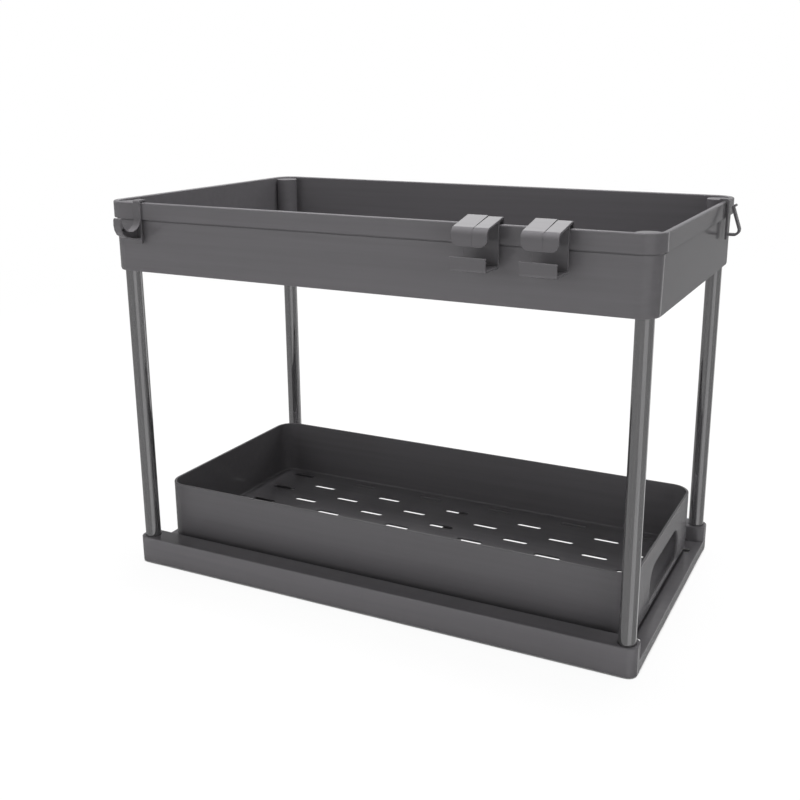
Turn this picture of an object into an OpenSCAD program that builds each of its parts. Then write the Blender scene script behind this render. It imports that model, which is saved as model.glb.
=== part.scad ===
// Two-tier under sink organizer: a base frame that stands on the cabinet floor,
// a basket that slides out of its right end, four steel tubes, a tray pushed on top,
// and four hooks that clip over the tray's rim.
// Units are millimetres. X runs along the long side, the open end is at +X.
// The viewer stands at -Y. Z is up. The origin is under the middle, on the floor.

/* [Tray] */
// Length of the tray over its lip
tray_l = 400; // [320:1:520]
// Depth of the tray over its lip, front to back
tray_d = 230; // [180:1:300]
// Height of the tray's rim above the floor
rim_z = 280.8; // [230:0.1:420]
// Height of the tray, underside to rim
tray_h = 49.6; // [35:0.1:80]
// Wall thickness of the tray
tray_wall = 1.6; // [1.2:0.1:2.4]
// Thickness of the tray's floor
tray_floor = 2; // [1.4:0.1:3.5]
// Height of the lip band round the tray's top
lip_h = 11.8; // [8:0.1:16]
// How far the lip band stands out from the wall
lip_proud = 1.8; // [1:0.1:2.6]
// Outside corner radius of the lip band
tray_r = 14.7; // [11:0.1:20]
// Wall round each tube socket in the tray
post_wall = 2.9; // [1.8:0.1:4]
// How far the flat top of a corner post lies under the rim
post_drop = 1.2; // [0.5:0.1:3]
// Plastic left over the top end of a tube
post_cap = 3; // [1.5:0.1:5]

/* [Tubes] */
// Outside diameter of a tube
tube_d = 11.5; // [9:0.1:13]
// Wall thickness of a tube
tube_wall = 0.8; // [0.5:0.1:1.4]
// Distance from the lip's end face to a tube's axis, along X
tube_in_x = 11; // [10:0.1:16]
// Distance from the lip's front face to a tube's axis, along Y
tube_in_y = 12.8; // [11.5:0.1:18]
// Length of an end plug inside its tube
plug_l = 12; // [6:0.5:20]
// Thickness of an end plug's flange
plug_flange = 1.2; // [0.8:0.1:2.5]

/* [Base frame] */
// Height of the long rails over the underside of the base
base_h = 20.2; // [16:0.1:32]
// Plastic between a tube and the outside of the base
base_wall = 2.2; // [1.6:0.1:4]
// Corner radius at the ends of a rail
rail_r = 6.5; // [3:0.1:7.5]
// Width of a long rail
rail_w = 16.6; // [16.2:0.1:20]
// Height of the low end sills over the underside of the base
sill_h = 8; // [6.8:0.1:10]
// Width of an end sill
sill_w = 36.5; // [26:0.5:50]
// Width of the cross rib in the middle
rib_w = 12; // [11.5:0.5:24]
// Height of the cross rib over the underside of the base
rib_h = 4.2; // [3.2:0.1:4.6]
// Thickness of the moulded shell under the rails and sills
shell = 2; // [1.4:0.1:2.6]
// Plastic under a tube's lower end
socket_floor = 3.2; // [2.6:0.1:5]
// Diameter of the drain hole beside each tube
drain_d = 7; // [4:0.1:8]
// Distance from the end of the base to a drain hole
drain_x = 9.5; // [7:0.1:14]
// Distance from the middle of the base to a drain hole, along Y
drain_y = 75.8; // [50:0.1:82]
// Length of one guide fin on a rail's inner face
fin_l = 30; // [15:1:50]
// Thickness of a guide fin
fin_t = 3; // [2:0.1:4]
// Height of the guide fins over the underside of the base
fin_z = 10; // [9.5:0.1:12]

/* [Foot pads] */
// Diameter of an anti-slip pad
pad_d = 10; // [7:0.1:11]
// Thickness of an anti-slip pad
pad_t = 2; // [1.6:0.1:2.4]
// How far a pad stands out under the base
pad_proud = 0.8; // [0.4:0.1:1.2]

/* [Basket] */
// Height of the basket's wall, lower edge to rim
wall_h = 46.4; // [38:0.1:90]
// Wall thickness of the basket
basket_wall = 1.9; // [1.3:0.1:3]
// Thickness of the basket's floor
basket_floor = 1.4; // [1:0.1:2.4]
// Outside corner radius of the basket
basket_r = 15; // [11:0.1:25]
// Gap between the basket and a long rail
side_gap = 8.6; // [5:0.1:14]
// Gap between the basket's end and the end of the base
end_gap = 9.4; // [6:0.1:20]
// Height of the runner ring under the basket
ring_h = 2.9; // [2.6:0.1:5]
// How far the runner ring is set in from the wall
ring_in = 3.5; // [2:0.1:5]
// Length of the finger hole in the basket's right end
grip_l = 84; // [60:1:110]
// Height of the finger hole
grip_h = 26; // [20:0.5:28]
// Height of the finger hole over the basket's lower edge
grip_z = 5.5; // [3.5:0.1:10]
// Radius of the finger hole's upper corners
grip_r = 14; // [6:0.5:16]
// Radius of the finger hole's lower corners
grip_low_r = 4; // [2:0.5:5]
// Width of a stop lug under the basket, along Y
stop_l = 9; // [5:0.5:10]
// Thickness of a stop lug
stop_t = 4; // [2.5:0.1:6]
// How far the basket pulls out before its stop lugs meet the right sill
travel = 140; // [100:1:142]

/* [Slots] */
// Length of a floor slot
slot_l = 21; // [14:0.5:28]
// Width of a floor slot
slot_w = 5.4; // [3:0.1:7]
// Distance between slots along X
slot_px = 64.6; // [56:0.1:66]
// Distance between rows of slots along Y
slot_py = 16; // [12:0.1:17]

/* [Wide hooks] */
// Width of a wide hook
wide_w = 23; // [15:0.5:30]
// Distance from the tray's right end to the right wide hook
wide_in = 53.6; // [50:0.1:80]
// Distance from one wide hook's right edge to the other's
wide_step = 43.3; // [36:0.1:50]
// Thickness of a wide hook's strap
wide_t = 1.6; // [1.2:0.1:2]
// Reach of a wide hook from the lip to its front tab
wide_out = 19.9; // [15:0.1:26]
// Height of a wide hook below the rim
wide_drop = 26.1; // [23:0.1:34]
// Height of the up-turned lip of a wide hook
wide_lip = 9; // [6:0.1:10]

/* [Narrow hooks] */
// Width of both narrow hooks
slim_w = 6; // [4:0.1:9]
// Distance from the tray's left end to the J hook
j_in = 27.4; // [26:0.1:60]
// Height of the J hook's plate below the rim
j_drop = 28.6; // [27:0.1:34]
// Distance from the back of the tray to the snap hook
snap_in = 39; // [34:0.1:60]
// Height of the snap hook's plate below the rim
snap_drop = 26.8; // [25.5:0.1:32]

/* [Clearances] */
// Radial clearance of a tube in its sockets and of a plug in its tube
fit_gap = 0.06; // [0.03:0.01:0.1]
// Height of the basket's runner ring over the sills
lift_gap = 0.3; // [0.3:0.05:0.8]
// Gap between the basket and its guide fins
guide_gap = 0.5; // [0.3:0.05:1]
// Gap between a stop lug and the sill it meets
stop_gap = 0.5; // [0.3:0.05:1]
// Gap between a hook and the tray's rim
hook_gap = 0.4; // [0.3:0.05:0.6]
// Radial clearance of a pad in its recess
pad_gap = 0.1; // [0.05:0.05:0.3]

/* [Hidden] */
$fn = 72;
eps = 0.02;
tube_x = tray_l/2 - tube_in_x;
tube_y = tray_d/2 - tube_in_y;
tube_r = tube_d/2;
socket_r = tube_r + fit_gap;
bore_r = tube_r - tube_wall;
base_l = 2*(tube_x + tube_r + base_wall);
base_d = 2*(tube_y + tube_r + base_wall);
base_z = pad_proud;
rail_top = base_z + base_h;
rail_y = base_d/2 - rail_w/2;
inner_y = base_d/2 - rail_w;
sill_top = base_z + sill_h;
sill_x = base_l/2 - sill_w;
rib_top = base_z + rib_h;
seat_z = base_z + socket_floor;
ceil_z = rim_z - post_drop - post_cap;
tray_z = rim_z - tray_h;
body_l = tray_l - 2*lip_proud;
body_d = tray_d - 2*lip_proud;
body_r = tray_r - lip_proud;
basket_l = base_l - 2*end_gap;
basket_d = 2*(inner_y - side_gap);
ring_z = sill_top + lift_gap;
basket_z = ring_z + ring_h;
stop_z = rib_top + 0.6;
rim_in = lip_proud + tray_wall;

// A box with four rounded upright edges, centred on X and Y.
module rbox(l, d, h, r) {
  translate([-l/2, -d/2 + r, 0])
    cube([l, d - 2*r, h]);
  translate([-l/2 + r, -d/2, 0])
    cube([l - 2*r, d, h]);
  for (sx = [-1, 1], sy = [-1, 1])
    translate([sx*(l/2 - r), sy*(d/2 - r), 0])
      cylinder(r = r, h = h);
}

// One round-ended slot through a floor.
module slot(h) {
  translate([-(slot_l - slot_w)/2, -slot_w/2, 0])
    cube([slot_l - slot_w, slot_w, h]);
  for (s = [-1, 1])
    translate([s*(slot_l - slot_w)/2, 0, 0])
      cylinder(d = slot_w, h = h, $fn = 24);
}

// Ten staggered rows of slots, five and six in turn, with six in the back row.
module slot_field(h) {
  rows = 10;
  for (k = [0:rows - 1]) {
    n = 5 + k % 2;
    for (i = [0:n - 1])
      translate([(i - (n - 1)/2)*slot_px, (k - (rows - 1)/2)*slot_py, 0])
        slot(h);
  }
}

module base_frame() {
  bay = (2*(tube_x - tube_r - base_wall) - 6*shell)/5;
  color("#47454a")
  difference() {
    union() {
      for (s = [-1, 1])
        translate([0, s*rail_y, base_z])
          rbox(base_l, rail_w, base_h, rail_r);
      for (s = [-1, 1])
        translate([s > 0 ? sill_x : -base_l/2, -rail_y, base_z])
          cube([sill_w, 2*rail_y, sill_h]);
      translate([-rib_w/2, -rail_y, base_z])
        cube([rib_w, 2*rail_y, rib_h]);
      for (s = [-1, 1], x = [-1, 0, 1])
        translate([x*base_l*0.28 - fin_l/2, s > 0 ? inner_y - side_gap + guide_gap : -inner_y - 1, base_z + fin_z])
          cube([fin_l, side_gap - guide_gap + 1, fin_t]);
    }
    // the rails are hollow from below, in five bays
    for (s = [-1, 1], i = [0:4])
      translate([(i - 2)*(bay + shell) - bay/2, s*rail_y - rail_w/2 + shell, base_z - eps])
        cube([bay, rail_w - 2*shell, base_h - shell + eps]);
    // and so are the sills, in three bays
    for (s = [-1, 1], i = [-1, 0, 1])
      translate([s > 0 ? sill_x + shell : -base_l/2 + shell, i*(2*inner_y - shell)/3 - (2*inner_y - 4*shell)/6, base_z - eps])
        cube([sill_w - 2*shell, (2*inner_y - 4*shell)/3, sill_h - shell + eps]);
    for (sx = [-1, 1], sy = [-1, 1]) {
      translate([sx*tube_x, sy*tube_y, seat_z])
        cylinder(r = socket_r, h = base_h);
      translate([sx*tube_x, sy*tube_y, base_z - eps])
        cylinder(r = pad_d/2 + pad_gap, h = pad_t - pad_proud + eps);
      translate([sx*(base_l/2 - drain_x), sy*drain_y, base_z])
        cylinder(d = drain_d, h = sill_h + 1);
    }
    translate([0, 0, base_z - eps])
      cylinder(r = pad_d/2 + pad_gap, h = pad_t - pad_proud + eps);
  }
}

module basket() {
  il = basket_l - 2*basket_wall;
  id = basket_d - 2*basket_wall;
  rl = basket_l - 2*ring_in;
  rd = basket_d - 2*ring_in;
  color("#3f3d42")
  difference() {
    union() {
      translate([0, 0, basket_z])
        rbox(basket_l, basket_d, wall_h, basket_r);
      translate([0, 0, ring_z])
        rbox(rl, rd, ring_h + eps, basket_r - ring_in);
    }
    translate([0, 0, basket_z + basket_floor])
      rbox(il, id, wall_h, basket_r - basket_wall);
    translate([0, 0, ring_z - eps])
      rbox(rl - 2*shell, rd - 2*shell, ring_h + eps, basket_r - ring_in - shell);
    translate([0, 0, ring_z])
      slot_field(ring_h + basket_floor + 1);
    grip_cut();
  }
  // two pairs of lugs under the floor, between slots, stop the basket at the sills
  color("#3f3d42")
  for (x = [-sill_x + stop_gap, sill_x - stop_gap - travel - stop_t], s = [-1, 1])
    translate([x, s*slot_py - stop_l/2, stop_z])
      cube([stop_t, stop_l, basket_z - stop_z]);
}

// The finger hole: nearly square corners below, wide ones above.
module grip_cut() {
  g = basket_wall + 6;
  translate([basket_l/2 - basket_wall - 3, 0, basket_z + grip_z]) {
    translate([0, -grip_l/2, grip_low_r])
      cube([g, grip_l, grip_h - grip_r - grip_low_r]);
    translate([0, -grip_l/2 + grip_r, grip_low_r])
      cube([g, grip_l - 2*grip_r, grip_h - grip_low_r]);
    translate([0, -grip_l/2 + grip_low_r, 0])
      cube([g, grip_l - 2*grip_low_r, grip_h - grip_r]);
    for (s = [-1, 1]) {
      translate([0, s*(grip_l/2 - grip_r), grip_h - grip_r])
        rotate([0, 90, 0])
          cylinder(r = grip_r, h = g);
      translate([0, s*(grip_l/2 - grip_low_r), grip_low_r])
        rotate([0, 90, 0])
          cylinder(r = grip_low_r, h = g);
    }
  }
}

module upper_tray() {
  color("#4b494e")
  difference() {
    union() {
      difference() {
        union() {
          translate([0, 0, tray_z])
            rbox(body_l, body_d, tray_h, body_r);
          translate([0, 0, rim_z - lip_h])
            rbox(tray_l, tray_d, lip_h, tray_r);
        }
        translate([0, 0, tray_z + tray_floor])
          rbox(body_l - 2*tray_wall, body_d - 2*tray_wall, tray_h, body_r - tray_wall);
      }
      for (sx = [-1, 1], sy = [-1, 1])
        translate([sx*tube_x, sy*tube_y, tray_z])
          cylinder(r = socket_r + post_wall, h = tray_h - post_drop);
    }
    translate([0, 0, tray_z - 1])
      slot_field(tray_floor + 2);
    for (sx = [-1, 1], sy = [-1, 1])
      translate([sx*tube_x, sy*tube_y, tray_z - 1])
        cylinder(r = socket_r, h = ceil_z - tray_z + 1);
  }
}

// One steel tube, standing on its lower plug and ending under its upper plug.
module tube(sx, sy) {
  z0 = seat_z + plug_flange;
  z1 = ceil_z - plug_flange;
  color("#5d5c60")
  translate([sx*tube_x, sy*tube_y, z0])
    difference() {
      cylinder(r = tube_r, h = z1 - z0);
      translate([0, 0, -1])
        cylinder(r = bore_r, h = z1 - z0 + 2);
    }
}

// An end plug: a flange as wide as the tube and a stem inside it.
module plug(sx, sy, up) {
  color("#2b2a2d")
  translate([sx*tube_x, sy*tube_y, up > 0 ? seat_z : ceil_z - plug_flange])
    cylinder(r = tube_r, h = plug_flange);
  color("#2b2a2d")
  translate([sx*tube_x, sy*tube_y, up > 0 ? seat_z + plug_flange : ceil_z - plug_flange - plug_l])
    cylinder(r = bore_r - fit_gap, h = plug_l);
}

// An anti-slip pad in its recess.
module pad(x, y) {
  color("#232326")
  translate([x, y, 0])
    cylinder(d = pad_d, h = pad_t);
}

// Hooks are drawn with X pointing away from the lip, Y up from the rim and Z along the rim.
module on_front(x) {
  translate([x, -tray_d/2, rim_z])
    rotate([0, 0, -90])
      rotate([90, 0, 0])
        children();
}

module on_end(y) {
  translate([tray_l/2, y, rim_z])
    rotate([90, 0, 0])
      children();
}

module wide_hook(x) {
  slope = 11;
  top = 4.1;
  run = wide_out + 6;
  nose = top - run*tan(slope);
  foot = -wide_drop;
  color("#77767b")
  on_front(x)
    difference() {
      union() {
        // plate on the lip
        translate([hook_gap, foot, 0])
          cube([wide_t, top - 1.6 + wide_drop, wide_w]);
        // sloping top plate
        translate([-6.4, top, 0])
          rotate([0, 0, -slope])
            translate([0, -wide_t, 0])
              cube([run/cos(slope) + 0.3, wide_t, wide_w]);
        // short leg inside the rim, with a grip bead
        translate([-6.4 - 0.6, -3.6, 0])
          cube([wide_t, top + 3.4, wide_w]);
        translate([-6.4, -2.6, 0])
          cube([6.4 - rim_in - hook_gap, wide_t, wide_w]);
        // front tab
        translate([wide_out - wide_t, nose - 10.6, 0])
          cube([wide_t, 10.6, wide_w]);
        translate([wide_out - wide_t, nose - wide_t/2, 0])
          cylinder(r = wide_t, h = wide_w, $fn = 32);
        // bottom flange and up-turned lip
        translate([hook_gap, foot, 0])
          cube([wide_out + 1.8, wide_t, wide_w]);
        translate([wide_out + 2.2 - wide_t, foot, 0])
          cube([wide_t, wide_lip, wide_w]);
      }
      // rounded lower corners of the front tab
      for (s = [0, 1])
        translate([wide_out - 3, nose - 10.6, s*wide_w])
          rotate([0, 90, 0])
            difference() {
              translate([-5, -0.1, 0])
                cube([10, 5.1, 6]);
              for (q = [-1, 1])
                translate([q*5, 5, -1])
                  cylinder(r = 5, h = 8);
            }
    }
}

// The narrow hooks' bridge over the rim and its short leg inside the tray.
module rim_bridge(plate_t) {
  leg_t = 1.4;
  leg_h = 8;
  translate([-rim_in - hook_gap - leg_t, hook_gap, 0])
    cube([rim_in + 2*hook_gap + leg_t + plate_t, 1.6, slim_w]);
  translate([-rim_in - hook_gap - leg_t, hook_gap + 1.6 - leg_h, 0])
    cube([leg_t, leg_h, slim_w]);
}

module j_hook() {
  color("#66656a")
  on_front(j_in + slim_w - tray_l/2)
    union() {
      difference() {
        linear_extrude(slim_w)
          polygon([[1, -24.4], [5.4, -25.2], [12, -24], [18, -22.4], [21, -20.4], [22.5, -17.6],
            [22.9, -14], [22.7, -9.6], [21.9, -8.6], [20.4, -8.6], [11, -8.6], [1, -7]]);
        translate([11.3, -9.3, -1])
          cylinder(r = 9.2, h = slim_w + 2);
        translate([hook_gap + 1.6, -9.3, -1])
          cube([20.5 - hook_gap - 1.6, 5, slim_w + 2]);
      }
      translate([hook_gap, -j_drop, 0])
        cube([1.7, j_drop + hook_gap + 1.6, slim_w]);
      rim_bridge(1.7);
    }
}

module snap_hook() {
  loop_x = 7;
  loop_y = -20.1;
  loop_r = 4.9;
  loop_t = 1.9;
  arm_t = 1.5;
  arm_l = 14.6;
  lean = 20;
  mid_r = loop_r - loop_t/2;
  color("#66656a")
  on_end(tray_d/2 - snap_in)
    union() {
      translate([hook_gap, -snap_drop, 0])
        cube([1.6, snap_drop + hook_gap + 1.6, slim_w]);
      rim_bridge(1.6);
      // the loop: a round bottom, an arm that leans back to the lip and a flared tip
      translate([loop_x, loop_y, 0])
        rotate([0, 0, -180])
          rotate_extrude(angle = 180 + lean)
            translate([loop_r - loop_t, 0])
              square([loop_t, slim_w]);
      translate([hook_gap + 1, loop_y - loop_r, 0])
        cube([loop_x - mid_r - hook_gap, 5, slim_w]);
      translate([loop_x + mid_r*cos(lean), loop_y + mid_r*sin(lean), 0])
        rotate([0, 0, lean])
          union() {
            translate([-arm_t/2, -0.3, 0])
              cube([arm_t, arm_l, slim_w]);
            translate([0, arm_l - 0.8, 0])
              rotate([0, 0, 8])
                translate([-arm_t/2, -arm_t/2, 0])
                  cube([4.2, 1.3, slim_w]);
          }
    }
}

base_frame();
basket();
upper_tray();
tube(-1, -1);  // tube_front_left
tube(1, -1);  // tube_front_right
tube(-1, 1);  // tube_back_left
tube(1, 1);  // tube_back_right
plug(-1, -1, 1);  // lower_plug_front_left
plug(1, -1, 1);  // lower_plug_front_right
plug(-1, 1, 1);  // lower_plug_back_left
plug(1, 1, 1);  // lower_plug_back_right
plug(-1, -1, -1);  // upper_plug_front_left
plug(1, -1, -1);  // upper_plug_front_right
plug(-1, 1, -1);  // upper_plug_back_left
plug(1, 1, -1);  // upper_plug_back_right
pad(-tube_x, -tube_y);  // pad_front_left
pad(tube_x, -tube_y);  // pad_front_right
pad(-tube_x, tube_y);  // pad_back_left
pad(tube_x, tube_y);  // pad_back_right
pad(0, 0);  // pad_middle
wide_hook(tray_l/2 - wide_in - wide_step);  // wide_hook_left
wide_hook(tray_l/2 - wide_in);  // wide_hook_right
j_hook();
snap_hook();
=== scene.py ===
"""Looks of a two-tier under sink organizer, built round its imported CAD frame."""
import math
import bpy
import bmesh
from mathutils import Matrix, Vector


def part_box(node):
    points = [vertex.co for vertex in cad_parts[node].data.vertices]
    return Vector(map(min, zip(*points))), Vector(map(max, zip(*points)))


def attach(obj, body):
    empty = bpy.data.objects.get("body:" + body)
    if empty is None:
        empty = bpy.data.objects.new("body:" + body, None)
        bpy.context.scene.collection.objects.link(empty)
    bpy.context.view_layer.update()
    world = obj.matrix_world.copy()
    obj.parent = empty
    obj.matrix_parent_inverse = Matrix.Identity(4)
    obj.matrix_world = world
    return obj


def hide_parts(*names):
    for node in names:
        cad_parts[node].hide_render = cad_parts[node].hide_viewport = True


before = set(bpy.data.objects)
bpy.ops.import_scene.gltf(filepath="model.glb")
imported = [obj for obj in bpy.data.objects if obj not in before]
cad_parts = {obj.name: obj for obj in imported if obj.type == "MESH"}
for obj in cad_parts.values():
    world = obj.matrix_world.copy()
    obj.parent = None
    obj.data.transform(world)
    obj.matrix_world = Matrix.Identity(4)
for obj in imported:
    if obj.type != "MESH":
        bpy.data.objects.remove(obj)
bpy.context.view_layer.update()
MM = 0.001

# Sizes that the CAD boxes give
tray_low, tray_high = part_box("upper_tray")
base_low, base_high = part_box("base_frame")
basket_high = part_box("basket")[1]
tube_low, tube_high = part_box("tube_back_right")
TRAY_HX, TRAY_HY = tray_high.x, tray_high.y
BASE_HX, BASE_HY = base_high.x, base_high.y
BASKET_HX, BASKET_HY = basket_high.x, basket_high.y
TUBE_X, TUBE_Y = (tube_low.x + tube_high.x) / 2, (tube_low.y + tube_high.y) / 2
TUBE_R = (tube_high.x - tube_low.x) / 2
RIM_Z = tray_high.z
CORNERS = [(sx, sy) for sx in (-1, 1) for sy in (-1, 1)]

# Clearances
SOCKET_GAP = 0.06 * MM  # round a tube in its socket
GUIDE_GAP = 0.5 * MM  # between the basket and a fin
LIFT_GAP = 0.3 * MM  # between the basket's ring and the sills
STOP_GAP = 0.5 * MM  # between the first lug and the left sill
LUG_GAP = 0.6 * MM  # between the lugs and the cross rib
HOOK_GAP = 0.4 * MM  # between a hook and the lip
HAIR = 0.02 * MM  # keeps joined faces out of one plane
WELD = 1e-6

# Tray
TRAY_WALL = 1.6 * MM
TRAY_FLOOR = 2 * MM
LIP_H, LIP_OUT, LIP_R = 11.8 * MM, 1.8 * MM, 14.7 * MM
GROOVE_H, GROOVE_DEPTH = 1.2 * MM, 0.6 * MM
SOCKET_R = TUBE_R + SOCKET_GAP
SOCKET_EASE = 0.4 * MM
POST_R = SOCKET_R + 2.9 * MM
POST_DROP = 1.2 * MM
POST_CAP = 3 * MM

# Tubes
TUBE_WALL = 0.8 * MM
TUBE_EASE = 0.25 * MM

# Base
RAIL_W, RAIL_R = 16.6 * MM, 6.5 * MM
SILL_W, SILL_H = 36.5 * MM, 8 * MM
RIB_W, RIB_H = 12 * MM, 4.2 * MM
SHELL = 2 * MM
BASE_EASE = 0.8 * MM
SOCKET_FLOOR = 3.2 * MM
DRAIN_R, DRAIN_X, DRAIN_Y = 3.5 * MM, 9.5 * MM, 75.8 * MM
DRAIN_EASE = 0.4 * MM
FIN_L, FIN_T, FIN_Z = 30 * MM, 3 * MM, 10 * MM
FIN_SHARE = 0.28  # of the base's length, from one fin to the next
PAD_R, PAD_SINK = 5.1 * MM, 1.2 * MM
RAIL_Y = BASE_HY - RAIL_W / 2
INNER_Y = BASE_HY - RAIL_W
SILL_X = BASE_HX - SILL_W

# Basket
BASKET_H, BASKET_R = 46.4 * MM, 15 * MM
BASKET_WALL, BASKET_FLOOR = 1.9 * MM, 1.4 * MM
RING_IN, RING_T = 3.5 * MM, 2 * MM
GRIP_L, GRIP_H, GRIP_Z = 84 * MM, 26 * MM, 5.5 * MM
GRIP_RADII = (14 * MM, 14 * MM, 4 * MM, 4 * MM)
GRIP_EASE = 0.5 * MM
LUG_L, LUG_T = 9 * MM, 4 * MM
TRAVEL = 140 * MM

# Slots in both floors
SLOT_L, SLOT_W = 21 * MM, 4.8 * MM
SLOT_PX, SLOT_PY = 64.6 * MM, 16 * MM
SLOT_ROWS, SLOTS_IN_ROW = 10, 5
SLOT_EASE = 0.08 * MM

# Hooks. Profiles are in millimetres: away from the lip, up from the rim, corner radius.
HOOK_T = 1.6 * MM
WIDE_EDGE, WIDE_TAB_R = 0.35 * MM, 5 * MM
WIDE_OVER = [(-6.2, -3.4, 0), (-6.2, 3.55, 1.7), (19.1, -1.35, 3.6), (19.1, -11.4, 0)]
WIDE_PLATE = [(1.2, 1.6, 0), (1.2, -25.3, 1.7), (21.2, -25.3, 1.5), (21.2, -17.3, 0)]
WIDE_BEAD = [(-5.9, -1.9, 0), (-3.9, -1.9, 0)]
WIDE_RAISED = [(-6.65, -1.5, 0), (-6.65, 4.1, 1.8), (14, -0.36, 0)]
WIDE_SEAM = [(-7.6, -3, 0), (-7.6, 4.6, 2.1), (20.2, -0.75, 4.2), (20.2, -13, 0)]
BEAD_T, BEAD_IN, BEAD_EDGE = 1.4 * MM, 0.6 * MM, 0.5 * MM
SEAM_SHARE = 0.41  # of a wide hook's width, to the left of the seam
SEAM_W, SEAM_T = 0.5 * MM, 0.9 * MM
LEG_DROP = 6  # from the rim down to a narrow hook's inner leg end
J_DROP, SNAP_DROP = 28.6, 26.8
J_OUTER = [(1.2, -24.5), (4.2, -25.0), (8, -24.6), (12.5, -23.6), (17, -22.3), (20.4, -20.2),
           (22.2, -17.2), (22.85, -13.6), (22.7, -10.2), (22.2, -8.9), (21.6, -8.6), (20.9, -8.7)]
J_RISE = [(2.0, -6.0), (1.8, -2.5), (1.2, -0.5)]
J_CORE = [(2.6, -24.2), (8, -23.9), (12.4, -22.9), (16.8, -21.5), (19.7, -19.6), (21.4, -16.6)]
J_CENTRE, J_SCOOP_R, J_CORE_R = (11.3, -9.3), 9.3, 9.9
J_WEB = 2 * MM  # left at the closed side of the cored foot
SNAP_CENTRE, SNAP_R, SNAP_LEAN, SNAP_ARM = (6.1, -19.6), 3.7, 19, 15.8
SNAP_WIRE = 1.7 * MM


# Outlines and profiles

def four_corners(hx, hy, radii, steps):
    """Points of a rectangle with a radius at each corner, counterclockwise from +x +y."""
    points = []
    quarters = ((1, 1, 0), (-1, 1, 90), (-1, -1, 180), (1, -1, 270))
    for (cx, cy, start), r in zip(quarters, radii):
        for i in range(steps + 1):
            a = math.radians(start + 90 * i / steps)
            points.append((cx * (hx - r) + r * math.cos(a), cy * (hy - r) + r * math.sin(a)))
    return points


def rounded_rect(hx, hy, r, steps):
    """Points of a rounded rectangle, counterclockwise."""
    r = max(min(r, hx, hy), HAIR)
    return four_corners(hx, hy, (r,) * 4, steps)


def rect_outline(hx, hy, r, steps=10):
    """A rounded rectangle as a function of how far it is drawn in."""
    least = 0.4 * MM
    return lambda inset: rounded_rect(hx - inset, hy - inset, max(r - inset, least), steps)


def circle_outline(r, steps=48):
    """A circle as a function of how far it is drawn in."""
    angles = [2 * math.pi * i / steps for i in range(steps)]
    return lambda inset: [((r - inset) * math.cos(a), (r - inset) * math.sin(a)) for a in angles]


def grip_outline(inset):
    """The finger hole drawn in by inset, with small corners below and wide ones above."""
    radii = [r - inset for r in GRIP_RADII]
    return four_corners(GRIP_L / 2 - inset, GRIP_H / 2 - inset, radii, 10)


def arc(centre, r, start, end, steps):
    """Points of an arc between two angles in degrees."""
    angles = [math.radians(start + (end - start) * i / steps) for i in range(steps + 1)]
    return [(centre[0] + r * math.cos(a), centre[1] + r * math.sin(a)) for a in angles]


def soften(corners, steps=4):
    """A polyline of (x, y, radius) with each inner corner rounded to its radius."""
    points = []
    for i, (x, y, r) in enumerate(corners):
        if i in (0, len(corners) - 1) or r == 0:
            points.append(Vector((x, y)))
            continue
        p = Vector((x, y))
        u = (Vector(corners[i - 1][:2]) - p).normalized()
        v = (Vector(corners[i + 1][:2]) - p).normalized()
        half = u.angle(v) / 2
        reach = r / math.tan(half)
        centre = p + (u + v).normalized() * (r / math.sin(half))
        start, end = p + u * reach - centre, p + v * reach - centre
        points += [centre + start.slerp(end, k / steps) * r for k in range(steps + 1)]
    return points


def path_mm(corners, steps=5):
    """A softened path written in millimetres."""
    return soften([(x * MM, y * MM, r * MM) for x, y, r in corners], steps)


def outline_mm(points):
    """An outline written in millimetres."""
    return [(x * MM, y * MM) for x, y in points]


# Meshes

def new_object(name, bm, turn_out=True):
    """Links a bmesh as an object, with its faces turned outwards."""
    if turn_out:
        bmesh.ops.recalc_face_normals(bm, faces=bm.faces)
    mesh = bpy.data.meshes.new(name)
    bm.to_mesh(mesh)
    bm.free()
    obj = bpy.data.objects.new(name, mesh)
    bpy.context.scene.collection.objects.link(obj)
    return obj


def skin(bm, rings, closed=False):
    """Faces from each ring of vertices to the next, capped unless the last meets the first."""
    pairs = list(zip(rings, rings[1:]))
    if closed:
        pairs.append((rings[-1], rings[0]))
    for a, b in pairs:
        for i in range(len(a)):
            j = (i + 1) % len(a)
            bm.faces.new((a[i], a[j], b[j], b[i]))
    if not closed:
        bm.faces.new(rings[0])
        bm.faces.new(rings[-1])


def loft(name, outline, profile, at=(0, 0, 0), closed=False, turn=None):
    """A solid through one ring for each (inset, height) of the profile."""
    bm = bmesh.new()
    rings = [[bm.verts.new((x, y, z)) for x, y in outline(inset)] for inset, z in profile]
    skin(bm, rings, closed)
    if turn is not None:
        bmesh.ops.transform(bm, matrix=turn, verts=bm.verts)
    bmesh.ops.translate(bm, vec=Vector(at), verts=bm.verts)
    return new_object(name, bm)


def block(name, low, high, edge):
    """A box between two corners, with its edges rounded."""
    low, high = Vector(low), Vector(high)
    half, mid = (high - low) / 2, (high + low) / 2
    profile = soften([
        (edge * 2, -half.z, 0), (0, -half.z, edge), (0, half.z, edge), (edge * 2, half.z, 0)], 3)
    return loft(name, rect_outline(half.x, half.y, edge, 3), profile, mid)


def end_narrowing(s, r):
    """How far a rounded end of radius r draws a side in, at distance s from that end."""
    return r - math.sqrt(max(r * r - (r - s) ** 2, 0)) if s < r else 0


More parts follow.
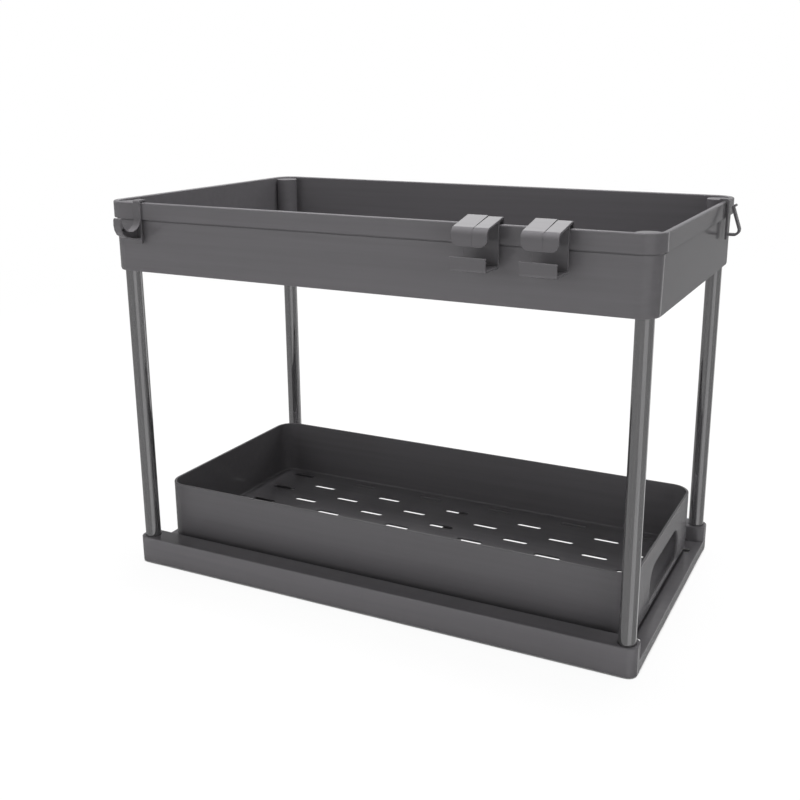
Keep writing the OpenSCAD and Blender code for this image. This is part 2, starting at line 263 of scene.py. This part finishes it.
def densify(path, round_start, round_end):
    """The path's points with their distance along it, and more of them at its ends."""
    lengths = [0]
    for a, b in zip(path, path[1:]):
        lengths.append(lengths[-1] + (b - a).length)
    total = lengths[-1]
    wanted = set(lengths)
    least, near, steps = 0.35 * MM, 0.01 * MM, 6
    for r, from_end in ((max(round_start, least), False), (max(round_end, least), True)):
        for k in range(steps + 1):
            s = r * (1 - math.cos(math.radians(90 * k / steps)))
            wanted.add(total - s if from_end else s)
    dense = []
    for s in sorted(wanted):
        if dense and s - dense[-1][1] < near:
            continue
        i = max(k for k in range(len(lengths)) if lengths[k] <= s + 1e-9)
        i = min(i, len(path) - 2)
        share = (s - lengths[i]) / (lengths[i + 1] - lengths[i])
        dense.append((path[i].lerp(path[i + 1], share), s))
    return dense


def sweep(name, path, thick, low, high, edge, place, round_end=0):
    """A flat strap along a path, between two widths, with rounded edges and far end."""
    path = densify(path, 0, round_end)
    total = path[-1][1]
    bm = bmesh.new()
    rings = []
    for i, (p, s) in enumerate(path):
        before, after = path[max(i - 1, 0)][0], path[min(i + 1, len(path) - 1)][0]
        tangent = (after - before).normalized()
        normal = Vector((-tangent.y, tangent.x))
        narrow = end_narrowing(total - s, round_end)
        thin = end_narrowing(s, edge) + end_narrowing(total - s, edge)
        half_w = (high - low) / 2 - max(narrow, thin)
        half_t = thick / 2 - min(thin, thick * 0.4)
        ring = []
        for n, w in rounded_rect(half_t, half_w, min(edge, half_t, half_w), 3):
            q = p + normal * n
            ring.append(bm.verts.new((q.x, q.y, (low + high) / 2 + w)))
        rings.append(ring)
    skin(bm, rings)
    bmesh.ops.transform(bm, matrix=place, verts=bm.verts)
    return new_object(name, bm)


def slab(name, outline, low, high, edge, place):
    """A flat solid of a free outline between two widths, with rounded edges."""
    curve = bpy.data.curves.new(name, "CURVE")
    curve.dimensions, curve.fill_mode = "2D", "BOTH"
    curve.extrude, curve.bevel_depth, curve.bevel_resolution = (high - low) / 2 - edge, edge, 2
    curve.offset = -edge
    spline = curve.splines.new("POLY")
    spline.points.add(len(outline) - 1)
    for point, (x, y) in zip(spline.points, outline):
        point.co = (x, y, 0, 1)
    spline.use_cyclic_u = True
    obj = bpy.data.objects.new(name, curve)
    bpy.context.scene.collection.objects.link(obj)
    mesh = evaluated_mesh(obj)
    bpy.data.objects.remove(obj)
    bm = bmesh.new()
    bm.from_mesh(mesh)
    bmesh.ops.remove_doubles(bm, verts=bm.verts, dist=WELD)
    bmesh.ops.translate(bm, vec=(0, 0, (low + high) / 2), verts=bm.verts)
    bmesh.ops.transform(bm, matrix=place, verts=bm.verts)
    return new_object(name, bm)


def evaluated_mesh(obj):
    """The mesh of an object with its modifiers or its curve worked out."""
    graph = bpy.context.evaluated_depsgraph_get()
    return bpy.data.meshes.new_from_object(obj.evaluated_get(graph))


def join(objects):
    """The objects' meshes as one object."""
    bm = bmesh.new()
    for o in objects:
        bm.from_mesh(o.data)
    name = objects[0].name
    for o in objects:
        bpy.data.objects.remove(o)
    return new_object(name, bm, turn_out=False)


def boolean(target, tool, operation):
    """Applies a boolean of target and tool, and removes the tool."""
    modifier = target.modifiers.new("boolean", "BOOLEAN")
    modifier.operation, modifier.object, modifier.solver = operation, tool, "EXACT"
    result = evaluated_mesh(target)
    target.modifiers.clear()
    target.data = result
    bpy.data.objects.remove(tool)


def finish_piece(obj, name, body, material, slot, *nodes):
    """Names a piece, shades it smooth but for its sharp edges, and puts it on its body."""
    obj.name = obj.data.name = name
    mesh = obj.data
    bm = bmesh.new()
    bm.from_mesh(mesh)
    bmesh.ops.remove_doubles(bm, verts=bm.verts, dist=WELD)
    bmesh.ops.dissolve_degenerate(bm, dist=WELD, edges=bm.edges)
    bm.to_mesh(mesh)
    bm.free()
    for polygon in mesh.polygons:
        polygon.use_smooth = True
    mesh.set_sharp_from_angle(angle=math.radians(38))
    weighted = obj.modifiers.new("weighted", "WEIGHTED_NORMAL")
    weighted.keep_sharp = True
    mesh.materials.clear()
    mesh.materials.append(material)
    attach(obj, body)
    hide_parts(*nodes)


# Materials

def empty_tree(owner):
    """The node tree of a material or world, with nothing in it."""
    owner.use_nodes = True
    owner.node_tree.nodes.clear()
    return owner.node_tree


def principled(name):
    """A material with a principled shader, its node tree and the shader."""
    material = bpy.data.materials.new(name)
    tree = empty_tree(material)
    shader = tree.nodes.new("ShaderNodeBsdfPrincipled")
    output = tree.nodes.new("ShaderNodeOutputMaterial")
    tree.links.new(shader.outputs["BSDF"], output.inputs["Surface"])
    return material, tree, shader


def stretched_noise(tree, scale, stretch=(1, 1, 1), detail=4):
    """Noise in the object's own coordinates, stretched along the three axes."""
    place = tree.nodes.new("ShaderNodeTexCoord")
    mapping = tree.nodes.new("ShaderNodeMapping")
    mapping.inputs["Scale"].default_value = stretch
    noise = tree.nodes.new("ShaderNodeTexNoise")
    noise.inputs["Scale"].default_value = scale
    noise.inputs["Detail"].default_value = detail
    noise.inputs["Roughness"].default_value = 0.55
    tree.links.new(place.outputs["Object"], mapping.inputs["Vector"])
    tree.links.new(mapping.outputs["Vector"], noise.inputs["Vector"])
    return noise.outputs["Fac"]


def ramp(tree, value, low, high):
    """Maps the middle of a noise between two numbers or colours."""
    node = tree.nodes.new("ShaderNodeValToRGB")
    for element, position, c in zip(node.color_ramp.elements, (0.3, 0.7), (low, high)):
        element.position = position
        element.color = (*c, 1) if isinstance(c, tuple) else (c, c, c, 1)
    tree.links.new(value, node.inputs["Fac"])
    return node.outputs["Color"]


def bump(tree, shader, height, strength, depth):
    """A bump on top of what the shader's normal already has."""
    node = tree.nodes.new("ShaderNodeBump")
    node.inputs["Strength"].default_value = strength
    node.inputs["Distance"].default_value = depth
    tree.links.new(height, node.inputs["Height"])
    normal = shader.inputs["Normal"]
    if normal.links:
        tree.links.new(normal.links[0].from_socket, node.inputs["Normal"])
    tree.links.new(node.outputs["Normal"], normal)


def tint(colour, factor):
    """A colour made lighter or darker."""
    return tuple(c * factor for c in colour)


def moulded_plastic(name, colour, rough):
    """Glossy moulded plastic: faint flow marks, a soft orange peel and slightly uneven gloss."""
    material, tree, shader = principled(name)
    shader.inputs["IOR"].default_value = 1.5
    flow = stretched_noise(tree, scale=260, stretch=(0.03, 1, 1))
    tree.links.new(ramp(tree, flow, tint(colour, 0.96), tint(colour, 1.04)),
                   shader.inputs["Base Color"])
    smear = stretched_noise(tree, scale=26, stretch=(0.35, 1, 3), detail=6)
    tree.links.new(ramp(tree, smear, rough * 0.8, rough * 1.25), shader.inputs["Roughness"])
    peel = stretched_noise(tree, scale=260, detail=2)
    dust = stretched_noise(tree, scale=1900, detail=2)
    bump(tree, shader, peel, strength=0.02, depth=0.5 * MM)
    bump(tree, shader, dust, strength=0.02, depth=0.03 * MM)
    return material


def coated_steel(name, colour, rough):
    """Dark polished steel tube: fine lines drawn along its length in gloss and colour."""
    material, tree, shader = principled(name)
    shader.inputs["Metallic"].default_value = 0.9
    shader.inputs["Coat Weight"].default_value = 1
    shader.inputs["Coat Roughness"].default_value = 0.06
    lines = stretched_noise(tree, scale=700, stretch=(1, 1, 0.015), detail=3)
    tree.links.new(ramp(tree, lines, tint(colour, 0.92), tint(colour, 1.08)),
                   shader.inputs["Base Color"])
    tree.links.new(ramp(tree, lines, rough * 0.8, rough * 1.3), shader.inputs["Roughness"])
    bump(tree, shader, lines, strength=0.05, depth=0.02 * MM)
    return material


def rubber(name, colour):
    """Matt rubber with a fine speckle."""
    material, tree, shader = principled(name)
    speck = stretched_noise(tree, scale=1400, detail=3)
    tree.links.new(ramp(tree, speck, tint(colour, 0.8), tint(colour, 1.3)),
                   shader.inputs["Base Color"])
    tree.links.new(ramp(tree, speck, 0.7, 0.9), shader.inputs["Roughness"])
    bump(tree, shader, speck, strength=0.3, depth=0.1 * MM)
    return material


GREY = (0.107, 0.103, 0.109)
TRAY_PLASTIC = moulded_plastic("tray_plastic", GREY, 0.13)
# The base's plastic is the tray's grey painted 16 % lighter: painted light, making up for light the
# base gets less of than the tray.
LIT_BASE_PLASTIC = moulded_plastic("base_plastic", tint(GREY, 1.16), 0.15)
# The basket's plastic is the same grey painted a little darker: painted shade.
SHADED_BASKET_PLASTIC = moulded_plastic("basket_plastic", tint(GREY, 0.96), 0.17)
# The hooks' plastic is the same grey painted a little darker: painted shade.
SHADED_HOOK_PLASTIC = moulded_plastic("hook_plastic", tint(GREY, 0.95), 0.15)
TUBE_STEEL = coated_steel("tube_steel", (0.32, 0.316, 0.322), 0.09)
PLUG_PLASTIC = moulded_plastic("plug_plastic", (0.03, 0.03, 0.031), 0.4)
PAD_RUBBER = rubber("pad_rubber", (0.02, 0.02, 0.021))


# Tray, base, basket and tubes

def slots(floor_z, floor_t):
    """Cutters for staggered rows of round-ended slots, with eased edges on both sides."""
    e, top = SLOT_EASE, floor_z + floor_t
    profile = [(-e * 2, floor_z - e), (0, floor_z + e), (0, top - e), (-e * 2, top + e)]
    outline = rect_outline(SLOT_L / 2, SLOT_W / 2, SLOT_W / 2, 5)
    cutters = []
    for k in range(SLOT_ROWS):
        n = SLOTS_IN_ROW + k % 2
        for i in range(n):
            at = ((i - (n - 1) / 2) * SLOT_PX, (k - (SLOT_ROWS - 1) / 2) * SLOT_PY, 0)
            cutters.append(loft("slots", outline, profile, at))
    return cutters


def socket(x, y, low, high, mouth):
    """Cutter for a tube socket whose mouth, at its low or high end, is eased."""
    e, lead = SOCKET_EASE, 0.01 * MM
    levels = [(0, low), (0, high - e), (-e, high + lead), (-e, high + MM)]
    if mouth == "low":
        levels = [(-e, low - MM), (-e, low - lead), (0, low + e), (0, high)]
    return loft("socket", circle_outline(SOCKET_R), levels, (x, y, 0))


def make_tray():
    """The tray: a draughted wall, a proud lip band, four corner posts and a slotted floor."""
    low, high = tray_low.z, tray_high.z
    lip_z, floor_z = high - LIP_H, low + TRAY_FLOOR
    groove_z = lip_z - GROOVE_H
    wall_top, wall_foot = LIP_OUT - 0.1 * MM, LIP_OUT + 0.5 * MM
    groove_in, rim_in = wall_top + GROOVE_DEPTH, LIP_OUT + TRAY_WALL
    profile = soften([
        (wall_foot + 9 * MM, low, 0), (wall_foot, low, 0.6 * MM),
        (wall_top, groove_z, 0.1 * MM), (groove_in, groove_z, 0), (groove_in, lip_z, 0),
        (0, lip_z, 0.25 * MM), (0, high, 1.1 * MM), (rim_in, high, 0.9 * MM),
        (rim_in + 0.5 * MM, floor_z, 2.2 * MM), (rim_in + 9 * MM, floor_z, 0)], 5)
    tray = loft("tray", rect_outline(TRAY_HX, TRAY_HY, LIP_R, 14), profile)
    top = high - POST_DROP
    profile = soften([
        (4 * MM, low + MM, 0), (0, low + MM, 0.2 * MM), (0, top, 0.7 * MM), (4 * MM, top, 0)])
    for sx, sy in CORNERS:
        at = (sx * TUBE_X, sy * TUBE_Y, 0)
        boolean(tray, loft("post", circle_outline(POST_R, 56), profile, at), "UNION")
    cutters = slots(low, TRAY_FLOOR)
    for sx, sy in CORNERS:
        cutters.append(socket(sx * TUBE_X, sy * TUBE_Y, low, top - POST_CAP, "low"))
    boolean(tray, join(cutters), "DIFFERENCE")
    finish_piece(tray, "tray_moulding", "frame", TRAY_PLASTIC, "tray_plastic", "upper_tray")


def base_solids(low, top):
    """The base's two rails, two sills, cross rib and six guide fins."""
    profile = soften([
        (4 * MM, low, 0), (0, low, 0.4 * MM), (0, top, 1.0 * MM), (4 * MM, top, 0)])
    outline = rect_outline(BASE_HX, RAIL_W / 2, RAIL_R, 12)
    solids = [loft("rail", outline, profile, (0, s * RAIL_Y, 0)) for s in (-1, 1)]
    for s in (-1, 1):
        x0, x1 = sorted((s * SILL_X, s * (BASE_HX - HAIR)))
        solids.append(block(
            "sill", (x0, -RAIL_Y, low + HAIR), (x1, RAIL_Y, low + SILL_H), BASE_EASE))
    rib_x, rib_y = RIB_W / 2, RAIL_Y + MM
    solids.append(block(
        "rib", (-rib_x, -rib_y, low + HAIR), (rib_x, rib_y, low + RIB_H), 0.5 * MM))
    fin_z = low + FIN_Z
    for s in (-1, 1):
        y0, y1 = sorted((s * (BASKET_HY + GUIDE_GAP), s * (INNER_Y + MM)))
        for i in (-1, 0, 1):
            x = i * 2 * BASE_HX * FIN_SHARE
            solids.append(block(
                "fin", (x - FIN_L / 2, y0, fin_z), (x + FIN_L / 2, y1, fin_z + FIN_T), 0.6 * MM))
    return solids


def base_hollows(low, top):
    """Cutters for the five bays under each rail and the three cells under each sill."""
    hollows = []
    floor = low - MM
    bay = (2 * (BASE_HX - 2 * (BASE_HX - TUBE_X)) - 6 * SHELL) / 5
    half_y = RAIL_W / 2 - SHELL
    for s in (-1, 1):
        y = s * RAIL_Y
        for i in range(-2, 3):
            x = i * (bay + SHELL)
            hollows.append(block(
                "bay", (x - bay / 2, y - half_y, floor), (x + bay / 2, y + half_y, top - SHELL),
                BASE_EASE))
    cell = (2 * INNER_Y - 4 * SHELL) / 3
    for s in (-1, 1):
        x0, x1 = sorted((s * (SILL_X + SHELL), s * (BASE_HX - SHELL)))
        for i in (-1, 0, 1):
            y = i * (cell + SHELL)
            hollows.append(block(
                "cell", (x0, y - cell / 2, floor), (x1, y + cell / 2, low + SILL_H - SHELL),
                BASE_EASE))
    return hollows


def base_holes(low, top):
    """Cutters for the tube sockets, the drain holes, undercut below, and the pads' recesses."""
    holes = []
    sill_top, e = low + SILL_H, DRAIN_EASE
    drain = [(-SHELL, low + MM), (-SHELL, sill_top - SHELL), (0, sill_top - e),
             (0, sill_top - e / 2), (-e, sill_top + e / 2)]
    for sx, sy in CORNERS:
        holes.append(socket(sx * TUBE_X, sy * TUBE_Y, low + SOCKET_FLOOR, top, "high"))
        at = (sx * (BASE_HX - DRAIN_X), sy * DRAIN_Y, 0)
        holes.append(loft("drain", circle_outline(DRAIN_R, 32), drain, at))
    recess = [(0, low - MM), (0, low + PAD_SINK)]
    for sx, sy in [(0, 0)] + CORNERS:
        at = (sx * TUBE_X, sy * TUBE_Y, 0)
        holes.append(loft("recess", circle_outline(PAD_R, 40), recess, at))
    return holes


def make_base():
    """The base: two rails with tube sockets, two low sills, a cross rib and guide fins."""
    low, top = base_low.z, base_high.z
    base, *others = base_solids(low, top)
    for solid in others:
        boolean(base, solid, "UNION")
    boolean(base, join(base_hollows(low, top)), "DIFFERENCE")
    boolean(base, join(base_holes(low, top)), "DIFFERENCE")
    finish_piece(base, "base_moulding", "frame", LIT_BASE_PLASTIC, "base_plastic", "base_frame")


def make_basket():
    """The basket: a thin wall with a soft foot, a runner ring, a slotted floor and a grip."""
    low, high = basket_high.z - BASKET_H, basket_high.z
    ring_z, foot_z = base_low.z + SILL_H + LIFT_GAP, low + 0.1 * MM
    floor_z, ring_end = low + BASKET_FLOOR, RING_IN + RING_T
    profile = soften([
        (ring_end + 8 * MM, low, 0), (ring_end, low, 0.3 * MM), (ring_end, ring_z, 0.3 * MM),
        (RING_IN, ring_z, 0.5 * MM), (RING_IN, foot_z, 0.2 * MM), (0, foot_z, 2.9 * MM),
        (0, high, 0.75 * MM), (BASKET_WALL, high, 0.6 * MM),
        (BASKET_WALL + 0.3 * MM, floor_z, 1.5 * MM), (BASKET_WALL + 12 * MM, floor_z, 0)], 5)
    basket = loft("basket", rect_outline(BASKET_HX, BASKET_HY, BASKET_R, 14), profile)
    lug_low, lug_high = base_low.z + RIB_H + LUG_GAP, low + 0.6 * MM
    for x in (-SILL_X + STOP_GAP, SILL_X - STOP_GAP - TRAVEL - LUG_T):
        for s in (-1, 1):
            y = s * SLOT_PY
            lug = block("lug", (x, y - LUG_L / 2, lug_low), (x + LUG_T, y + LUG_L / 2, lug_high),
                        0.4 * MM)
            boolean(basket, lug, "UNION")
    e, inner, outer = GRIP_EASE, BASKET_HX - BASKET_WALL, BASKET_HX
    profile = [(-e * 2, inner - e - 0.2 * MM), (0, inner + e), (0, outer - e), (-e * 2, outer + e)]
    upright = Matrix(((0, 0, 1, 0), (1, 0, 0, 0), (0, 1, 0, 0), (0, 0, 0, 1)))
    at = (0, 0, low + GRIP_Z + GRIP_H / 2)
    grip = loft("grip", grip_outline, profile, at, turn=upright)
    boolean(basket, join(slots(low, BASKET_FLOOR) + [grip]), "DIFFERENCE")
    finish_piece(
        basket, "basket_moulding", "basket", SHADED_BASKET_PLASTIC, "basket_plastic", "basket")


def make_tube(name, sx, sy):
    """A thin steel tube with eased ends."""
    low, high, wall, e = tube_low.z, tube_high.z, TUBE_WALL, TUBE_EASE
    profile = soften([
        (wall / 2, low, 0), (0, low, e), (0, high, e), (wall, high, e), (wall, low, e),
        (wall / 2, low, 0)], 2)[:-1]
    at = (sx * TUBE_X, sy * TUBE_Y, 0)
    tube = loft(name, circle_outline(TUBE_R, 72), profile, at, closed=True)
    finish_piece(tube, name + "_steel", "frame", TUBE_STEEL, "tube_steel", name)


# Hooks

def front_place(right_edge):
    """Places a hook, drawn with x away from the lip and z along it, on the front rim."""
    return Matrix(((0, 0, -1, right_edge), (-1, 0, 0, -TRAY_HY), (0, 1, 0, RIM_Z), (0, 0, 0, 1)))


def end_place(back_edge):
    """The same for a hook on the right end."""
    return Matrix(((1, 0, 0, TRAY_HX), (0, 0, -1, back_edge), (0, 1, 0, RIM_Z), (0, 0, 0, 1)))


def finish_hook(hook, name):
    """Puts a hook on its own body."""
    finish_piece(hook, name + "_moulding", name, SHADED_HOOK_PLASTIC, "hook_plastic", name)


def make_wide_hook(name):
    """A wide hook: a strap bent over the rim into a front tab, and a plate bent into a cradle."""
    low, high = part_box(name)
    place, width = front_place(high.x), high.x - low.x
    hook = sweep(name, path_mm(WIDE_OVER, 8), HOOK_T, 0, width, WIDE_EDGE, place, WIDE_TAB_R)
    seam = width * SEAM_SHARE
    for part, path, steps, thick, start, end, edge in (
            ("plate", WIDE_PLATE, 6, HOOK_T, HAIR, width - HAIR, WIDE_EDGE),
            ("bead", WIDE_BEAD, 5, BEAD_T, BEAD_IN, width - BEAD_IN, BEAD_EDGE),
            ("raised", WIDE_RAISED, 8, HOOK_T, seam, width - HAIR / 2, 0.3 * MM)):
        boolean(hook, sweep(part, path_mm(path, steps), thick, start, end, edge, place), "UNION")
    start, end = seam - SEAM_W / 2, seam + SEAM_W / 2
    cut = sweep("seam", path_mm(WIDE_SEAM, 8), SEAM_T, start, end, 0.05 * MM, place)
    boolean(hook, cut, "DIFFERENCE")
    finish_hook(hook, name)


def rim_strap(name, drop, width, place):
    """A narrow hook's plate, from its foot up and over the rim to a short leg inside the tray."""
    top = (HOOK_GAP + HOOK_T / 2) / MM
    x_leg = -(LIP_OUT + TRAY_WALL + HOOK_GAP + HOOK_T / 2) / MM
    over = path_mm([(top, -drop, 0), (top, top, 0.9), (x_leg, top, 0.9), (x_leg, -LEG_DROP, 0)])
    return sweep(name, over, HOOK_T, 0, width, 0.3 * MM, place)


def make_j_hook():
    """The J hook: a plate over the rim with a deep scoop, its foot cored out from the open side."""
    low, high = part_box("j_hook")
    place, width = front_place(high.x), high.x - low.x
    hook = rim_strap("j_hook", J_DROP, width, place)
    outline = outline_mm(J_OUTER + arc(J_CENTRE, J_SCOOP_R, -4, -176, 24) + J_RISE)
    boolean(hook, slab("scoop", outline, HAIR, width - HAIR, WIDE_EDGE, place), "UNION")
    outline = outline_mm(J_CORE + arc(J_CENTRE, J_CORE_R, -34, -172, 12))
    boolean(hook, slab("core", outline, -MM, width - J_WEB, 0.1 * MM, place), "DIFFERENCE")
    finish_hook(hook, "j_hook")


def make_snap_hook():
    """The snap hook: a plate over the rim and a springy loop that leans back to the lip."""
    low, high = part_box("snap_hook")
    place, width = end_place(high.y), high.y - low.y
    hook = rim_strap("snap_hook", SNAP_DROP, width, place)
    (x, y), r = SNAP_CENTRE, SNAP_R
    bend = arc(SNAP_CENTRE, r, -108, SNAP_LEAN, 14)[1:]
    lean = math.radians(SNAP_LEAN)
    tip_x = bend[-1][0] - SNAP_ARM * math.sin(lean)
    tip_y = bend[-1][1] + SNAP_ARM * math.cos(lean)
    loop = [(1.2, y - r, 0), (x - 1.2, y - r, 0)] + [(*p, 0) for p in bend]
    loop += [(tip_x, tip_y, 0.5), (tip_x + 2.4, tip_y + 1.3, 0)]
    wire = sweep("loop", path_mm(loop, 4), SNAP_WIRE, HAIR, width - HAIR, 0.4 * MM, place)
    boolean(hook, wire, "UNION")
    finish_hook(hook, "snap_hook")


def dress_hidden_nodes():
    """Materials for the end plugs and the pads, which keep their CAD shape."""
    for name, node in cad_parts.items():
        for part, material, slot in (("plug", PLUG_PLASTIC, "plug_plastic"),
                                     ("pad", PAD_RUBBER, "pad_rubber")):
            if part in name:
                node.data.materials.clear()
                node.data.materials.append(material)


# Room, lamps and camera

MIRRORED_ROOM = 0.3


def maths(tree, operation, *values):
    """A maths node on sockets and numbers."""
    node = tree.nodes.new("ShaderNodeMath")
    node.operation = operation
    for i, value in enumerate(values):
        if isinstance(value, (int, float)):
            node.inputs[i].default_value = value
        else:
            tree.links.new(value, node.inputs[i])
    return node.outputs[0]


def map_range(tree, value, from_min, from_max, to_min, to_max):
    """A clamped linear map of a value."""
    node = tree.nodes.new("ShaderNodeMapRange")
    tree.links.new(value, node.inputs["Value"])
    for name, number in (("From Min", from_min), ("From Max", from_max),
                         ("To Min", to_min), ("To Max", to_max)):
        node.inputs[name].default_value = number
    return node.outputs["Result"]


def glow_over(tree, surface, share, level):
    """Mixes a plain glow over a surface by a share."""
    of_world = surface.node.type == "BACKGROUND"
    glow = tree.nodes.new("ShaderNodeBackground" if of_world else "ShaderNodeEmission")
    glow.inputs["Color"].default_value = (level, level, level, 1)
    mix = tree.nodes.new("ShaderNodeMixShader")
    tree.links.new(share, mix.inputs["Fac"])
    tree.links.new(surface, mix.inputs[1])
    tree.links.new(glow.outputs[0], mix.inputs[2])
    return mix.outputs[0]


def seen_pale(tree, surface, white_share, mirror_level):
    """Makes a surface white to the camera by a share, and a paler grey in reflections."""
    path = tree.nodes.new("ShaderNodeLightPath")
    mirrored = maths(
        tree, "MAXIMUM", path.outputs["Is Glossy Ray"], path.outputs["Is Transmission Ray"])
    white = maths(tree, "MULTIPLY", path.outputs["Is Camera Ray"], white_share)
    return glow_over(tree, glow_over(tree, surface, mirrored, mirror_level), white, 1)


def make_floor():
    """A plain pale floor with a faint shadow, and a full one where the base closes over it."""
    bm = bmesh.new()
    bmesh.ops.create_grid(bm, x_segments=1, y_segments=1, size=6)
    floor = new_object("floor", bm)
    material = bpy.data.materials.new("floor")
    tree = empty_tree(material)
    add = tree.nodes.new
    diffuse, output = add("ShaderNodeBsdfDiffuse"), add("ShaderNodeOutputMaterial")
    diffuse.inputs["Color"].default_value = (0.8, 0.8, 0.8, 1)
    place, distance = add("ShaderNodeTexCoord"), add("ShaderNodeVectorMath")
    distance.operation = "LENGTH"
    tree.links.new(place.outputs["Object"], distance.inputs[0])
    fade = map_range(tree, distance.outputs["Value"], 0.4, 1.6, 0.95, 1)
    open_sky = add("ShaderNodeAmbientOcclusion")
    open_sky.inputs["Distance"].default_value = 9 * MM
    open_share = map_range(tree, open_sky.outputs["AO"], 0.4, 0.55, 0, 1)
    white_share = maths(tree, "MULTIPLY", fade, open_share)
    surface = seen_pale(tree, diffuse.outputs["BSDF"], white_share, MIRRORED_ROOM)
    tree.links.new(surface, output.inputs["Surface"])
    floor.data.materials.append(material)
    floor.visible_glossy = False


def make_world(level):
    """A white room: white to the eye, paler grey in reflections, and dimmer as a light."""
    world = bpy.data.worlds.new("room")
    bpy.context.scene.world = world
    tree = empty_tree(world)
    plain = tree.nodes.new("ShaderNodeBackground")
    plain.inputs["Color"].default_value = (1, 1, 1, 1)
    plain.inputs["Strength"].default_value = level
    output = tree.nodes.new("ShaderNodeOutputWorld")
    surface = seen_pale(tree, plain.outputs["Background"], 1, MIRRORED_ROOM)
    tree.links.new(surface, output.inputs["Surface"])


def make_lamp(name, at, towards, size, power):
    """A soft rectangular lamp that isn't seen in reflections."""
    light = bpy.data.lights.new(name, "AREA")
    light.shape, light.energy = "RECTANGLE", power
    light.size, light.size_y = size
    lamp = bpy.data.objects.new(name, light)
    bpy.context.scene.collection.objects.link(lamp)
    lamp.location = at
    lamp.rotation_euler = (Vector(towards) - Vector(at)).to_track_quat("-Z", "Y").to_euler()
    lamp.visible_camera = lamp.visible_glossy = False
    return lamp


def make_card(name, azimuth, spread, level):
    """A tall card far off, only seen in reflections; azimuth is from the front to the right."""
    far, elevation, height = 3.0, -12, 2.4
    a, e = math.radians(azimuth), math.radians(elevation)
    at = Vector((math.sin(a) * math.cos(e), -math.cos(a) * math.cos(e), math.sin(e))) * far
    width = 2 * far * math.tan(math.radians(spread / 2))
    power = level * math.pi * width * height
    card = make_lamp(name, at, (0, 0, 0), (width, height), power)
    card.visible_glossy, card.visible_diffuse = True, False


def make_camera():
    """The photograph's own view: its place, tilt, field and small shift."""
    pitch, yaw = 15.08, 25.76
    data = bpy.data.cameras.new("camera")
    camera = bpy.data.objects.new("camera", data)
    bpy.context.scene.collection.objects.link(camera)
    camera.location = (331.5 * MM, -683.8 * MM, 360.4 * MM)
    camera.rotation_euler = (math.radians(90 - pitch), 0, math.radians(yaw))
    data.sensor_width, data.lens = 36, 46.7
    data.shift_x, data.shift_y = -0.0371, -0.0447
    bpy.context.scene.camera = camera


make_camera()
make_floor()
make_world(level=0.16)
make_lamp("above", at=(0, 0.05, 1.5), towards=(0, 0.05, 0), size=(0.8, 0.4), power=41)
make_lamp("front", at=(-0.5, -1.6, 0.5), towards=(0, 0, 0.15), size=(0.9, 0.9), power=10.5)
make_lamp("right", at=(1.25, -1.05, 0.45), towards=(0, 0, 0.15), size=(0.8, 0.8), power=4)
make_lamp("back", at=(0, 1.5, 1.0), towards=(0, 0, 0.1), size=(0.8, 0.6), power=20)
high_back = make_lamp(
    "high_back", at=(-0.75, 1.35, 1.12), towards=(0, 0, 0.25), size=(1.0, 0.9), power=3)
high_back.visible_glossy = True
make_card("front_card", azimuth=44, spread=42, level=0.27)
make_card("back_card", azimuth=152, spread=14, level=0.65)

make_tray()
make_base()
make_basket()
for side_x, x_name in ((-1, "left"), (1, "right")):
    for side_y, y_name in ((-1, "front"), (1, "back")):
        make_tube("tube_%s_%s" % (y_name, x_name), side_x, side_y)
for hook_name in ("wide_hook_left", "wide_hook_right"):
    make_wide_hook(hook_name)
make_j_hook()
make_snap_hook()
dress_hidden_nodes()
bpy.context.scene.view_settings.view_transform = "Standard"
